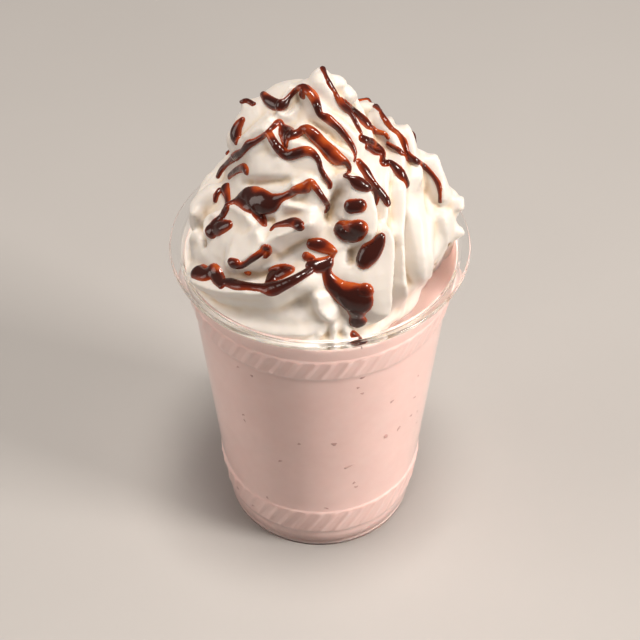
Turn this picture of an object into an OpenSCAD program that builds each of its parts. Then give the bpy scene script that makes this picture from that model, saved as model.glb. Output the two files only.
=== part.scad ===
// Strawberry milkshake in a clear tumbler, topped with a piped swirl of whipped cream.
// Millimetres, +Z up. The origin is the middle of the foot's underside.

/* [Cup] */
// Height of the cup, foot to top of the rolled lip
cup_h = 121; // [100:1:150]
// Outer radius of the rolled lip
lip_r = 49; // [40:0.5:60]
// Width of the rolled lip's ring, outer edge to mouth
lip_w = 3.9; // [2.5:0.1:5]
// Thickness of the rolled lip
lip_t = 1.6; // [1.2:0.1:2.4]
// Wall and base thickness of the cup
wall = 0.8; // [0.6:0.1:1.2]
// How much narrower the wall is just above the foot than at the mouth
taper = 10.1; // [6:0.1:13]
// Rounding of the foot's outer edge
foot_round = 2; // [1:0.1:3]
// How far the middle of the base is pushed up
push_up = 3; // [2:0.5:5]

/* [Bands] */
// Height of the plain foot below the lower ribbed band
foot_h = 11; // [8:0.5:14]
// Height of the lower ribbed band
low_band_h = 12; // [8:0.5:16]
// Height of the upper ribbed band
top_band_h = 9.6; // [7:0.2:13]
// Height of the smooth collar between the upper band and the lip
collar_h = 10; // [7:0.5:12]
// How far a ribbed band stands out from the wall
band_step = 0.5; // [0.3:0.1:0.8]

/* [Contents] */
// Depth of the milkshake's surface below the lip
level_drop = 11; // [7:0.5:20]
// Height of the cream above the lip
cream_h = 63; // [45:1:85]
// How far the cream's belly swells past the mouth of the cup
belly_out = 0.5; // [0:0.1:2]
// Gap between the cream and the cup's wall
cream_gap = 0.3; // [0.2:0.1:1]
// Depth of the hollow on the right, where the milkshake shows
bay_depth = 10; // [8:0.5:12]
// Height of one turn of the swirl
turn_h = 26; // [18:1:34]
// Depth of the groove between two turns
groove_d = 5; // [2:0.5:7]
// Number of flutes that the star nozzle leaves round the swirl
flutes = 12; // [8:1:16]
// Depth of a flute
flute_d = 3; // [1:0.25:4]

/* [Hidden] */

mouth_r = lip_r - lip_w;                  // inside of the lip
collar_top = cup_h - lip_t;               // the collar ends under the lip
band_top = collar_top - collar_h;         // upper edge of the upper band
band_low = band_top - top_band_h;         // lower edge of the upper band
low_band_top = foot_h + low_band_h;       // upper edge of the lower band
edge = band_step;                         // height of the slope at a band's edge

mouth_out = mouth_r + wall;               // outside of the collar at the lip
collar_flare = 1.4;                       // how far each stretch widens towards its top
top_band_flare = 1.9;
low_band_flare = 1.5;
foot_flare = 0.9;
shoulder_r = mouth_out - collar_flare;    // outside of the upper band's top
top_wall_r = shoulder_r - top_band_flare; // outside of the wall under the upper band
low_wall_r = mouth_out - taper;           // outside of the wall over the lower band
low_edge_r = low_wall_r - low_band_flare; // outside of the wall under the lower band
foot_r = low_edge_r - foot_flare;         // outside of the foot at its rounding
foot_ring = 4;                            // width of the ring that the cup stands on
arc_step = 15;                            // degrees between points of a rounding

// Outside of the cup, from the foot's rounding up to the lip: [radius, height]
outside = [
    for (a = [-90:arc_step:0]) [foot_r - foot_round + foot_round * cos(a), foot_round + foot_round * sin(a)],
    [low_edge_r, foot_h - edge],
    [low_edge_r + band_step, foot_h],
    [low_wall_r + band_step, low_band_top],
    [low_wall_r, low_band_top + edge],
    [top_wall_r, band_low - edge],
    [top_wall_r + band_step, band_low],
    [shoulder_r, band_top - edge],
    [shoulder_r - band_step / 2, band_top],
    [mouth_out, collar_top]
];

// Inside of the cup: the outside less the wall, from the base's edge up to the collar
inner_foot_r = foot_r - foot_round;
base_z = push_up + wall;
inside = [
    [inner_foot_r - foot_ring, base_z],
    [inner_foot_r, wall],
    for (p = outside) if (p[1] > foot_round / 2) [p[0] - wall, max(p[1], wall + foot_round / 2)]
];

// Inner radius of the cup at a height
function cup_in(z) = z >= collar_top ? mouth_r : lookup(z, [for (p = inside) if (p[1] > foot_round) [p[1], p[0]]]);

level = cup_h - level_drop;               // the milkshake's surface

module cup() {
    lip_mid = cup_h - lip_t / 2;
    color("white", 0.35)
    rotate_extrude($fn = 180)
    union() {
        polygon(concat(
            [[0, push_up], [inner_foot_r - foot_ring, push_up], [inner_foot_r - foot_ring + push_up / 2, 0]],
            outside,
            [[mouth_r, collar_top]],
            [for (i = [len(inside) - 1:-1:0]) inside[i]],
            [[0, base_z]]
        ));
        translate([mouth_r, collar_top]) square([lip_w - lip_t / 2, lip_t]);
        translate([lip_r - lip_t / 2, lip_mid]) circle(d = lip_t, $fn = 32);
    }
}

module milkshake() {
    color("#efc9c2")
    rotate_extrude($fn = 180)
    polygon(concat(
        [[0, base_z]],
        [for (p = inside) if (p[1] < level) p],
        [[cup_in(level), level], [0, level]]
    ));
}

// --- whipped cream: one piped swirl, a ring of points at each height ---

sectors = 72;                             // points round a ring
rings = 40;                               // rings up the swirl
belly_z = cup_h + 8;                      // height of the widest ring
clear_z = cup_h + 1.5;                    // the cream stays inside the mouth below this
peak_z = cup_h + cream_h;                 // tip of the swirl
peak = [1, 6];                            // the tip stands a little behind the middle
full = 1.3;                               // fullness of the mound's side
blunt = 0.8;                              // bluntness of its top
lean = 1.5;                               // degrees that a flute leans for each mm of height
flute_share = 0.45;                       // how much of the flutes is left inside the cup

function clamp01(x) = min(1, max(0, x));
function smooth(x) = x * x * (3 - 2 * x);
function ramp(x, a, b) = smooth(clamp01((x - a) / (b - a)));
function turned(d) = d - 360 * round(d / 360);
function bump(a, at, wide) = exp(-pow(turned(a - at) / wide, 2));
function frac(x) = x - floor(x);

// Height above the belly as a share of the mound: 0 at the belly, 1 at the tip
function rise(z) = clamp01((z - belly_z) / (peak_z - belly_z));

// Smooth mound: the mouth's radius in the cup, the belly above it, closing at the tip
function mound_r(z) = z < clear_z
    ? cup_in(z) - cream_gap
    : z < belly_z
        ? mouth_r - cream_gap + (belly_out + cream_gap) * ramp(z, clear_z, belly_z)
        : (mouth_r + belly_out) * pow(1 - pow(rise(z), full), blunt);

// The swirl's turns climb like a screw; a groove runs between one turn and the next
groove_at = -120;                         // where a groove passes the belly's height
function turn_at(a, z) = frac((z - belly_z) / turn_h - (a - groove_at) / 360);
function groove(a, z) = pow(1 - sin(180 * turn_at(a, z)), 2);

// Flutes from the star nozzle, with round backs and sharp valleys between them
function flute(a, z) = 1 - abs(sin((a + lean * (z - belly_z)) * flutes / 2));

// The bay on the right, open to the milkshake
bay_at = -20;                             // its direction, degrees from +X
bay_wide = 32;                            // half its width, in degrees
bay_close = 0.7;                          // how much of it the swirl above closes
bay_low = cup_h + 12;                     // where it starts to close
bay_high = cup_h + 30;                    // and where it stops
function bay(a, z) = bump(a, bay_at, bay_wide) * (1 - bay_close * ramp(z, bay_low, bay_high));

// Swells where the swirl is fuller: [direction, height above the lip, reach, half width, half height]
swells = [
    [185, 48, 6, 50, 10],                 // shoulder left of the tip
    [30, 22, 3, 35, 12],                  // right-hand turn
    [150, 16, -3, 45, 10],                // slack on the left, over the rim
    [-100, 30, 2, 40, 10]                 // second turn, at the front
];
function swell(a, z) = [for (s = swells) s[2] * bump(a, s[0], s[3]) * exp(-pow((z - cup_h - s[1]) / s[4], 2))]
    * [for (s = swells) 1];

// How far the surface lies inside the smooth mound
function relief(a, z) =
    groove_d * groove(a, z) * ramp(z, cup_h, belly_z + 4)
    + flute_d * flute(a, z) * (flute_share + (1 - flute_share) * ramp(z, cup_h, belly_z))
    + bay_depth * bay(a, z)
    - swell(a, z) * ramp(z, cup_h, belly_z);

// The relief shrinks towards the tip, so that the last rings stay round it
slim_r = 25;                              // the relief shrinks where the mound is slimmer than this
tip_r = 0.5;                              // smallest radius of a ring
function cream_r(a, z) =
    max(tip_r, mound_r(z) - relief(a, z) * (1 - pow(rise(z), 4)) * min(1, mound_r(z) / slim_r));

crowd = 1.15;                             // how much closer the rings lie towards the tip
function ring_z(i) = level + (peak_z - level) * (1 - pow(1 - i / rings, crowd));

function ring_point(a, z) = [
    peak[0] * pow(rise(z), 2) + cream_r(a, z) * cos(a),
    peak[1] * pow(rise(z), 2) + cream_r(a, z) * sin(a),
    z
];

module whipped_cream() {
    points = concat(
        [for (i = [0:rings - 1]) for (j = [0:sectors - 1]) ring_point(360 * j / sectors, ring_z(i))],
        [[0, 0, level], [peak[0], peak[1], peak_z]]
    );
    bottom = rings * sectors;
    tip = bottom + 1;
    last = (rings - 1) * sectors;
    sides = [
        for (i = [0:rings - 2]) for (j = [0:sectors - 1])
            let (k = (j + 1) % sectors, p = i * sectors, q = p + sectors)
                each [[p + j, q + k, p + k], [p + j, q + j, q + k]]
    ];
    caps = [
        for (j = [0:sectors - 1])
            let (k = (j + 1) % sectors)
                each [[bottom, j, k], [tip, last + k, last + j]]
    ];
    color("#fdf6ec")
    polyhedron(points, concat(sides, caps), convexity = 6);
}

cup();
milkshake();
whipped_cream();
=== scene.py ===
import math

import bmesh
import bpy
import numpy as np
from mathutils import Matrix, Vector, kdtree, noise
from mathutils.bvhtree import BVHTree


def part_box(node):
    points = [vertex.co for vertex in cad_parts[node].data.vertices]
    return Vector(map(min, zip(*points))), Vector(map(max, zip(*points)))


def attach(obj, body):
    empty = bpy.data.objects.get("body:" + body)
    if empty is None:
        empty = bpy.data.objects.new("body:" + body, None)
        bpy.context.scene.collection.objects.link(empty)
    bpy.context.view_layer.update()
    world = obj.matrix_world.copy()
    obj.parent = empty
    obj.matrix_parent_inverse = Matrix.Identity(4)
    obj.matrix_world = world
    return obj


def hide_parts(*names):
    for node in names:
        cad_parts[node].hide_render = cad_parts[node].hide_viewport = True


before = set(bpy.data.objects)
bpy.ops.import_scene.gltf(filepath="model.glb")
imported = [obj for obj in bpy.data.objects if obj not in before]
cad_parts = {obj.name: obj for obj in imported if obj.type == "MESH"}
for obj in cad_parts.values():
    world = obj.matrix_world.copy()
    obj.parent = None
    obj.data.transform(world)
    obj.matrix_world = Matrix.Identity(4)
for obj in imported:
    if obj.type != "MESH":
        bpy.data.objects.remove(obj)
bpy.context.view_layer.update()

# Strawberry milkshake: clear cup, pink milkshake, piped cream and chocolate sauce.
# Shapes are worked out in millimetres and stored in metres.
MM = 0.001

# ---------------------------------------------------------------- frame sizes

CUP_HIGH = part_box("cup")[1]
LIP_R = CUP_HIGH.x / MM
CUP_H = CUP_HIGH.z / MM
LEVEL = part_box("milkshake")[1].z / MM
LIP_T = 1.6               # thickness of the rolled lip
WALL_REACH = 0.3          # how far a filling reaches into the cup's wall

# The ribbed bands of the cup, heights in mm
LOW_BAND = (11.0, 23.0)
TOP_BAND = (99.8, 108.9)

# ---------------------------------------------------------------- small helpers


def make_object(name, mesh):
    piece = bpy.data.objects.new(name, mesh)
    bpy.context.scene.collection.objects.link(piece)
    return piece


def mesh_piece(name, points_mm, faces):
    """An object from points in millimetres, shaded smooth."""
    mesh = bpy.data.meshes.new(name)
    mesh.from_pydata([tuple(p) for p in np.asarray(points_mm, float) * MM], [], faces)
    mesh.validate()
    mesh.shade_smooth()
    return make_object(name, mesh)


def ring_faces(rings, count, base=0):
    """Faces of a tube: quads between rings of count points, then a flat end at either side."""
    faces = []
    for low in range(base, base + (rings - 1) * count, count):
        high = low + count
        for j in range(count):
            k = (j + 1) % count
            faces.append((low + j, low + k, high + k, high + j))
    faces.append(tuple(range(base + count - 1, base - 1, -1)))
    faces.append(tuple(range(base + (rings - 1) * count, base + rings * count)))
    return faces


def read(items, what, width, kind=float):
    """What a mesh says of its corners or edges, as rows of width numbers."""
    flat = np.empty(len(items) * width, kind)
    items.foreach_get(what, flat)
    return flat.reshape(-1, width)


def points_of(mesh):
    """The mesh's corners in millimetres."""
    return read(mesh.vertices, "co", 3) / MM


def normals_of(mesh):
    return read(mesh.vertex_normals, "vector", 3)


def set_points(mesh, points_mm):
    mesh.vertices.foreach_set("co", (points_mm * MM).ravel())
    mesh.update()


def store_value(mesh, name, values):
    """Keeps one number a corner under a name that materials can read."""
    mesh.attributes.new(name, "FLOAT", "POINT").data.foreach_set("value", values)


def apply_modifiers(piece):
    """Replaces the piece's mesh by what its modifiers make of it."""
    graph = bpy.context.evaluated_depsgraph_get()
    graph.update()
    done = bpy.data.meshes.new_from_object(piece.evaluated_get(graph))
    piece.modifiers.clear()
    piece.data = done


def remesh(piece, voxel_mm):
    step = piece.modifiers.new("remesh", "REMESH")
    step.mode = "VOXEL"
    step.voxel_size = voxel_mm * MM
    step.use_smooth_shade = True
    apply_modifiers(piece)


def smooth(piece, times):
    step = piece.modifiers.new("smooth", "SMOOTH")
    step.factor = 0.5
    step.iterations = times
    apply_modifiers(piece)


def thin_out(piece, share):
    """Keeps a share of the piece's triangles, fewest where it is flattest."""
    step = piece.modifiers.new("thin_out", "DECIMATE")
    step.ratio = share
    apply_modifiers(piece)


def edge_pairs(mesh):
    """The two corners of every edge, one row an edge."""
    return read(mesh.edges, "vertices", 2, int)


def relax(values, pairs, times, share=0.5):
    """Averages values (one row a corner) over neighbouring corners."""
    count = np.bincount(pairs.ravel(), minlength=len(values)).astype(float)
    count = np.maximum(count, 1).reshape((-1,) + (1,) * (values.ndim - 1))
    for _ in range(times):
        total = np.zeros_like(values)
        np.add.at(total, pairs[:, 0], values[pairs[:, 1]])
        np.add.at(total, pairs[:, 1], values[pairs[:, 0]])
        values = values * (1 - share) + share * total / count
    return values


def tree_of(mesh):
    """A search tree for ray casts, in millimetres."""
    points = [tuple(p) for p in points_of(mesh)]
    return BVHTree.FromPolygons(points, [tuple(f.vertices) for f in mesh.polygons])


def ramp(x, low, high):
    """Soft step: 0 up to low, 1 from high on."""
    t = np.clip((x - low) / (high - low), 0, 1)
    return t * t * (3 - 2 * t)


def turned(plan):
    """Direction of points round the axis, in degrees: 0 at +X, -90 at the front."""
    return np.degrees(np.arctan2(plan[:, 1], plan[:, 0]))


# ---------------------------------------------------------------- camera and light

ELEVATION = math.radians(45.1)
AIM = Vector((0, 0, 83.8))          # the camera looks at this point of the axis
DISTANCE = 547.0
LAMP_AIM = Vector((0, 0, 120))      # and the lamps at the cream
RIGHT = Vector((1, 0, 0))
UP = Vector((0, math.sin(ELEVATION), math.cos(ELEVATION)))
TO_EYE = Vector((0, -math.cos(ELEVATION), math.sin(ELEVATION)))
EYE = AIM + TO_EYE * DISTANCE


def make_camera():
    lens = bpy.data.cameras.new("camera")
    lens.lens = 90
    lens.sensor_width = 36
    lens.clip_start = 0.01
    camera = make_object("camera", lens)
    camera.location = EYE * MM
    camera.rotation_mode = "QUATERNION"
    camera.rotation_quaternion = (-TO_EYE).to_track_quat("-Z", "Y")
    bpy.context.scene.camera = camera


def make_lamp(name, place_mm, size_mm, watts, colour):
    lamp = bpy.data.lights.new(name, "AREA")
    lamp.shape = "RECTANGLE"
    lamp.size, lamp.size_y = size_mm[0] * MM, size_mm[1] * MM
    lamp.energy = watts
    lamp.color = colour
    holder = make_object(name, lamp)
    holder.location = Vector(place_mm) * MM
    aim = LAMP_AIM - Vector(place_mm)
    holder.rotation_mode = "QUATERNION"
    holder.rotation_quaternion = aim.to_track_quat("-Z", "Y")


def make_light():
    make_lamp("key_right", (1150, -460, 830), (400, 400), 17.0, (1.0, 0.925, 0.86))
    make_lamp("overhead", (60, -60, 1200), (280, 280), 9.4, (1.0, 0.93, 0.86))
    make_lamp("fill_left", (-1300, -110, 600), (750, 900), 6.0, (1.0, 0.91, 0.84))
    world = bpy.data.worlds.new("studio")
    world.use_nodes = True
    sky = world.node_tree.nodes["Background"]
    sky.inputs["Color"].default_value = (0.95, 0.87, 0.80, 1)
    sky.inputs["Strength"].default_value = 0.22
    bpy.context.scene.world = world
    bpy.context.scene.view_settings.view_transform = "Standard"


# ---------------------------------------------------------------- slanted board
# Folds and sauce are laid out in mm on a board that faces the camera through AIM:
# first number across, second number up. drop() carries a point on to a surface.
CREAM_BACK = 4            # wrap() looks from all sides at a line so far behind the axis
FAR_OUT = 120             # a distance that is outside everything


def on_board(across, up):
    return AIM + RIGHT * across + UP * up


def drop(tree, across, up):
    """The point of the surface that the eye sees at a point of the board, or None."""
    return tree.ray_cast(EYE, (on_board(across, up) - EYE).normalized())[0]


def wrap(tree, direction, height):
    """The outermost point of the surface at degrees round the axis and mm over the lip, or None."""
    a = math.radians(direction)
    out = Vector((math.cos(a), math.sin(a), 0))
    middle = Vector((0, CREAM_BACK, CUP_H + height))
    return tree.ray_cast(middle + out * FAR_OUT, -out)[0]


def dense(route, step):
    """A list of rows, resampled along a smooth curve with a point about every step mm."""
    rows = np.array(route, float)
    if len(rows) == 1:
        return rows
    padded = np.vstack([2 * rows[0] - rows[1], rows, 2 * rows[-1] - rows[-2]])
    out = []
    for i in range(1, len(padded) - 2):
        a, b, c, d = padded[i - 1:i + 3]
        count = max(1, int(np.linalg.norm((c - b)[:2]) / step))
        for k in range(count):
            t = k / count
            out.append(0.5 * (2 * b + (c - a) * t + (2 * a - 5 * b + 4 * c - d) * t * t
                              + (3 * b - a - 3 * c + d) * t ** 3))
    out.append(rows[-1])
    return np.array(out)


def laid_on(tree, cast, route, step):
    """A route's points on a surface, by drop or wrap, but for those that miss it."""
    hits = [cast(tree, *row) for row in dense(route, step)]
    return np.array([p for p in hits if p is not None])


# ---------------------------------------------------------------- cup

RIB_H = 0.28              # how far a rib stands out
RIBBED = [(TOP_BAND, 52), (LOW_BAND, 44)]    # each band and its number of ribs
RIB_LEAN = math.radians(26)
RIB_FADE = 0.8            # a rib fades in and out over this height
RIB_VALLEY = 0.25         # the smaller, the wider the flat valley between two ribs
SECTORS = 624             # points round the cup and the milkshake
TURNS = np.radians(np.arange(SECTORS) * 360 / SECTORS)
BESIDE_CUP = 90           # a distance from the axis that is outside the cup


def cup_radii():
    """Two functions of height: the cup's outside and inside radius, from the CAD cup."""
    tree = tree_of(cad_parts["cup"].data)

    def outside(z):
        return tree.ray_cast(Vector((BESIDE_CUP, 0.01, z)), Vector((-1, 0, 0)))[0].x

    def inside(z):
        return tree.ray_cast(Vector((0, 0.01, z)), Vector((1, 0, 0)))[0].x

    return outside, inside


OUTSIDE, INSIDE = cup_radii()


def inside_at(heights):
    """Inside radius of the cup at an array of heights."""
    marks = np.linspace(6, CUP_H - 0.05, 80)
    return np.interp(heights, marks, [INSIDE(z) for z in marks])


def rib_relief(z, band, ribs, radius):
    """Height of the leaning ribs of one band, along a ring at height z."""
    low, high = band
    edge = ramp(z, low, low + RIB_FADE) * (1 - ramp(z, high - RIB_FADE, high))
    shift = math.tan(RIB_LEAN) * (z - low) / radius
    wave = np.cos((TURNS - shift) * ribs)
    return RIB_H * edge * np.clip((wave + RIB_VALLEY) / (1 + RIB_VALLEY), 0, 1) ** 1.5


def ribbed_ring(radius, z, share):
    """A ring of points at height z that stands out with a share of the ribs' height."""
    radii = np.full(SECTORS, float(radius))
    for band, ribs in RIBBED:
        radii += share * rib_relief(z, band, ribs, radius)
    return np.stack([radii * np.cos(TURNS), radii * np.sin(TURNS), np.full(SECTORS, z)], 1)


def cup_outline():
    """Half section of the cup from the middle of the underside over the lip to the middle inside.

    Also says where in it the outer wall starts and ends. The heights crowd at the bands' edges.
    """
    under = [(0.5, 3.0), (14, 3.0), (26.8, 3.0), (27.8, 2.6), (28.6, 0.7), (29.1, 0.05), (31.0, 0.0)]
    foot = [(OUTSIDE(z), z) for z in (0.1, 0.3, 0.6, 1.0, 1.5, 2.0)]
    heights = np.concatenate([
        np.linspace(2.6, 10.6, 5), [11.0, 11.3], np.linspace(11.8, 22.4, 14), [22.8, 23.1, 23.5, 24.0],
        np.linspace(26, 98.5, 20), [99.2, 99.6, 100.0], np.linspace(100.6, 108.2, 12),
        [108.6, 109.0, 109.3, 109.8], np.linspace(111, 118.4, 6)])
    wall = [(OUTSIDE(z), z) for z in heights]
    bead = LIP_T / 2
    lip = [(OUTSIDE(118.9), 118.9), (LIP_R - 2.6, 119.2), (LIP_R - bead, CUP_H - LIP_T)]
    lip += [(LIP_R - bead + bead * math.cos(a), CUP_H - bead + bead * math.sin(a))
            for a in np.radians(range(-70, 91, 20))]
    mouth = INSIDE(CUP_H - 0.5)
    lip += [(mouth + 1.2, CUP_H - 0.05), (mouth + 0.5, CUP_H - 0.25), (mouth + 0.1, CUP_H - 0.8)]
    inner = [(INSIDE(z), z) for z in np.concatenate([
        np.linspace(119.0, 109.8, 6), [109.2, 108.6], np.linspace(107, 101, 5), [99.9, 99.3],
        np.linspace(96, 25, 12), [23.4, 22.8], np.linspace(20, 6, 6), [3.0, 1.6]])]
    floor = [(30.5, 0.9), (29.6, 1.0), (28.4, 3.3), (27.0, 3.8), (14, 3.8), (0.5, 3.8)]
    start = len(under) + len(foot)
    return under + foot + wall + lip + inner + floor, start, start + len(wall)


def make_cup():
    outline, start, end = cup_outline()
    rings = [ribbed_ring(r, z, 1.0 if start <= i < end else 0.0) for i, (r, z) in enumerate(outline)]
    return mesh_piece("clear_cup", np.vstack(rings), ring_faces(len(rings), SECTORS))


# ---------------------------------------------------------------- milkshake

FILM_TOP = 6.5            # how far above its level the milkshake clings to the wall
FILM_WAVE = 0.7           # how uneven the film's upper edge is
LEVEL_WAVE = 0.15         # and the milkshake's own level
RIB_SHARE = 0.9           # how much of the ribs' height the milkshake follows


def make_milkshake():
    """Fills the cup to its level, follows the ribs and clings to the wall above in an uneven film."""
    heights = [1.2, 2.0, 4.0, 8.0] + list(np.linspace(10.6, 23.8, 34)) + list(np.linspace(28, 97, 14))
    heights += list(np.linspace(99.2, 109.6, 28)) + [LEVEL, LEVEL + 2]
    outline = [(0.4, 3.5), (14, 3.5), (27.2, 3.5), (29.8, 1.0), (30.6, 0.7)]
    outline += [(INSIDE(z) + WALL_REACH, z) for z in heights]
    film = LEVEL + FILM_TOP
    outline += [(INSIDE(film - 2) + WALL_REACH, film - 2), (INSIDE(film) + WALL_REACH, film)]
    outline += [(INSIDE(film) - 0.1, film + 0.1), (INSIDE(LEVEL + 1) - 0.5, LEVEL + 1.4)]
    outline += [(INSIDE(LEVEL) - 2.0, LEVEL + 0.3), (INSIDE(LEVEL) - 4, LEVEL), (24, LEVEL), (0.4, LEVEL)]
    edge = np.sin(TURNS * 3 + 1) + 0.6 * np.sin(TURNS * 7 + 2) + 0.3 * np.sin(TURNS * 17)
    rings = []
    for r, z in outline:
        points = ribbed_ring(r, z, RIB_SHARE)
        rise = FILM_WAVE * edge * ramp(z, LEVEL + 2.1, film)
        points[:, 2] += rise + LEVEL_WAVE * edge * ramp(z, LEVEL - 0.1, LEVEL)
        rings.append(points)
    return mesh_piece("milkshake_fill", np.vstack(rings), ring_faces(len(rings), SECTORS))


SPECKS = 75
SPECK_SIDES = 9
SPECK_HEIGHTS = (13, 106)
SPECK_LONG, SPECK_WIDE = (0.5, 1.05), (0.32, 0.65)    # half sizes in mm, smallest and largest
BIG_SPECKS = 0.22         # share of specks that are bigger, by these two factors
BIG_LONG, BIG_WIDE = 1.9, 1.6
SPECK_LAYERS = ((-0.25, 0.8), (0.02, 1.0), (0.08, 0.6))    # distance from the surface, share of its size


def make_specks():
    """Bits of strawberry skin and seed that lie just under the milkshake's surface."""
    rng = np.random.default_rng(7)
    points, faces = [], []
    up = np.array([0, 0, 1])
    for _ in range(SPECKS):
        z = rng.uniform(*SPECK_HEIGHTS)
        a = rng.uniform(0, 2 * math.pi)
        long, wide = rng.uniform(*SPECK_LONG), rng.uniform(*SPECK_WIDE)
        if rng.random() < BIG_SPECKS:
            long, wide = long * BIG_LONG, wide * BIG_WIDE
        spin = rng.uniform(0, math.pi)
        r = INSIDE(z) + WALL_REACH
        out = np.array([math.cos(a), math.sin(a), 0])
        side = np.array([-math.sin(a), math.cos(a), 0])
        faces += ring_faces(len(SPECK_LAYERS), SPECK_SIDES, len(points))
        for depth, share in SPECK_LAYERS:
            for k in range(SPECK_SIDES):
                t = 2 * math.pi * k / SPECK_SIDES
                wobble = 1 + 0.25 * math.sin(3 * t + spin * 5)
                x, y = long * share * wobble * math.cos(t), wide * share * wobble * math.sin(t)
                u = x * math.cos(spin) - y * math.sin(spin)
                v = x * math.sin(spin) + y * math.cos(spin)
                points.append(out * (r + depth) + side * u + up * (z + v))
    return mesh_piece("strawberry_specks", points, faces)


# ---------------------------------------------------------------- whipped cream
# Each fold is a crest with a height and two widths: first the side to the left of or
# below its route, then the other side, for a route that runs down or to the right.

FOLDS = [
    # the top rope: crests that fan out from the tip and the peaks on its left
    (4, 5, 6, [(0.5, 86), (0.2, 82), (1.5, 77), (4.5, 72.5), (8, 68), (11, 63.5), (13, 59), (13.5, 54)]),
    (3.6, 4.5, 4, [(-6, 80), (-3.2, 77.5), (-1, 73.5), (0.5, 70), (4, 67), (8, 63), (11, 59), (11.7, 55)]),
    (3.2, 3, 5, [(-7, 79.5), (-9.5, 76), (-11.5, 72), (-13, 67.5)]),
    (3.4, 4.5, 3.5, [(-5.2, 66), (-2, 64), (2, 60.5), (6, 57), (9.5, 54.5), (10.2, 51)]),
    (2.6, 3, 4, [(-5.2, 66), (-8, 63), (-10, 60.2)]),
    (3, 8, 6, [(-14, 68.3), (-16.5, 66), (-20, 63.2), (-25, 60), (-29.5, 56), (-34, 50)]),
    (3, 3, 6, [(-17.5, 64.8), (-15.5, 61), (-12.5, 57)]),
    (3.4, 8, 3.2, [(-11, 59.3), (-7, 60.2), (-4.4, 59), (-1.5, 56), (0.3, 52.5), (2.2, 49), (3.6, 45.8)]),
    (3.4, 7, 3, [(-10, 46.3), (-4, 48.3), (-1, 45.2), (1.5, 41.8), (2.7, 38)]),
    # shoulders on the right of the tip
    (2.6, 4, 3, [(4.5, 84), (6, 80.5), (8, 77), (11, 73)]),
    (2.6, 3, 3, [(8.6, 79.3), (10.3, 74), (13, 69), (15.5, 63), (16.5, 57)]),
    # flutes of the right-hand turn
    (3.4, 4, 5, [(12, 75), (15, 71.5), (19, 67.5), (22.5, 64), (25, 59.5), (26, 53), (26.8, 46)]),
    (3.6, 4, 4.5, [
        (19.8, 73.6), (22.5, 69.5), (25.5, 65.5), (28.3, 62), (30.2, 56.5), (31.2, 50), (31.6, 43)]),
    (3.2, 3.5, 4.5, [
        (27, 69.5), (31, 66.3), (33.5, 60.5), (36.5, 54.5), (39.3, 49), (41.2, 43), (41.5, 38)]),
    (2.8, 3.5, 4, [(36, 58.5), (39.5, 53.5), (43, 50), (46, 43.5), (46.5, 37)]),
    (1.8, 2.5, 3, [(22.3, 52), (22.3, 45), (21.6, 38), (21.5, 32)]),
    (2.6, 5, 3, [(27, 48), (27.2, 38), (26.6, 28), (27, 18), (27.3, 8), (26.4, 0), (24.6, -6)]),
    (1.2, 2.2, 3.6, [(33.4, 36), (33.6, 27), (34, 18), (34.2, 10), (33.4, 3)]),
    (1.1, 3.4, 4, [(36.8, 35), (36.4, 26), (36, 18), (35, 10), (33.4, 3)]),
    (1.5, 3.6, 3.5, [(42, 37), (42.5, 30), (42, 24), (39, 18), (36.6, 12)]),
    (2, 2.5, 2.5, [(48.6, 36), (46.8, 31.5), (47.8, 27), (47, 22.5)]),
    # petals in the middle of the front
    (5.6, 13, 2.2, [
        (5, 47.5), (9, 48.2), (12.5, 45.5), (15, 41.5), (16.3, 36.5), (16.5, 31.5), (14.5, 27.6),
        (10.5, 25.6)]),
    (5.4, 13, 2.2, [
        (18, 33.5), (21, 31), (22.2, 26), (22.4, 20), (21.6, 14), (20.4, 8), (18.8, 3), (16.5, -1)]),
    (3, 9, 2, [(26.9, 15), (27.3, 7), (26.3, -1), (24.5, -6)]),
    # second turn, left and middle
    (2.4, 6, 2.5, [(-32, 36), (-29.5, 38.2), (-26.5, 38.2), (-23, 36), (-20, 32.3)]),
    (2, 2.5, 2.5, [(-12.5, 39.5), (-8, 39), (-3, 37.8), (1, 37.5)]),
    (4.2, 5, 4, [(-17.5, 25), (-14, 28.5), (-9, 31), (-4, 33.5), (0.5, 36.5)]),
    (4.2, 10, 2.6, [(-19, 33), (-17.6, 29), (-18.2, 25), (-22, 21), (-27.5, 18.4), (-32, 20)]),
    (3.2, 3, 7, [(-36, 48.8), (-41, 46.8), (-44.6, 42.5), (-45, 39)]),
    (2.4, 3, 2.5, [(-45, 39.3), (-42.3, 37), (-41.6, 33.5), (-43, 28.5), (-44.5, 24)]),
    (2.4, 2.6, 4, [(-33, 36), (-36.5, 34), (-38, 30), (-36.5, 26.5)]),
    # lowest turn, along the glass
    (4.2, 7, 3.2, [
        (-43.5, 17.5), (-38, 13.8), (-33, 12), (-27, 11.2), (-20, 10.6), (-15, 11), (-10, 13.6),
        (-5, 16.2), (0, 18.7)]),
    (2, 3, 3, [(-38, 5), (-28, 0.8), (-20, -1.5), (-12, -3), (-5, -3.6), (1, -3)]),
    (2.6, 2.2, 6, [(-1.2, 10), (-0.6, 5), (2.5, 1.6), (6, 0.4)]),
    (1.8, 2, 2, [(1, -3), (-2, -5), (-6, -6.4)]),
    (1.8, 1.6, 1.6, [(4.8, -1), (4.6, -4), (4, -7.5)]),
    (1.8, 1.6, 1.6, [(8.5, -2), (9.4, -5), (9.6, -8)]),
    (1.8, 1.8, 1.8, [(14, -4), (17, -6), (20, -7)]),
]

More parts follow.
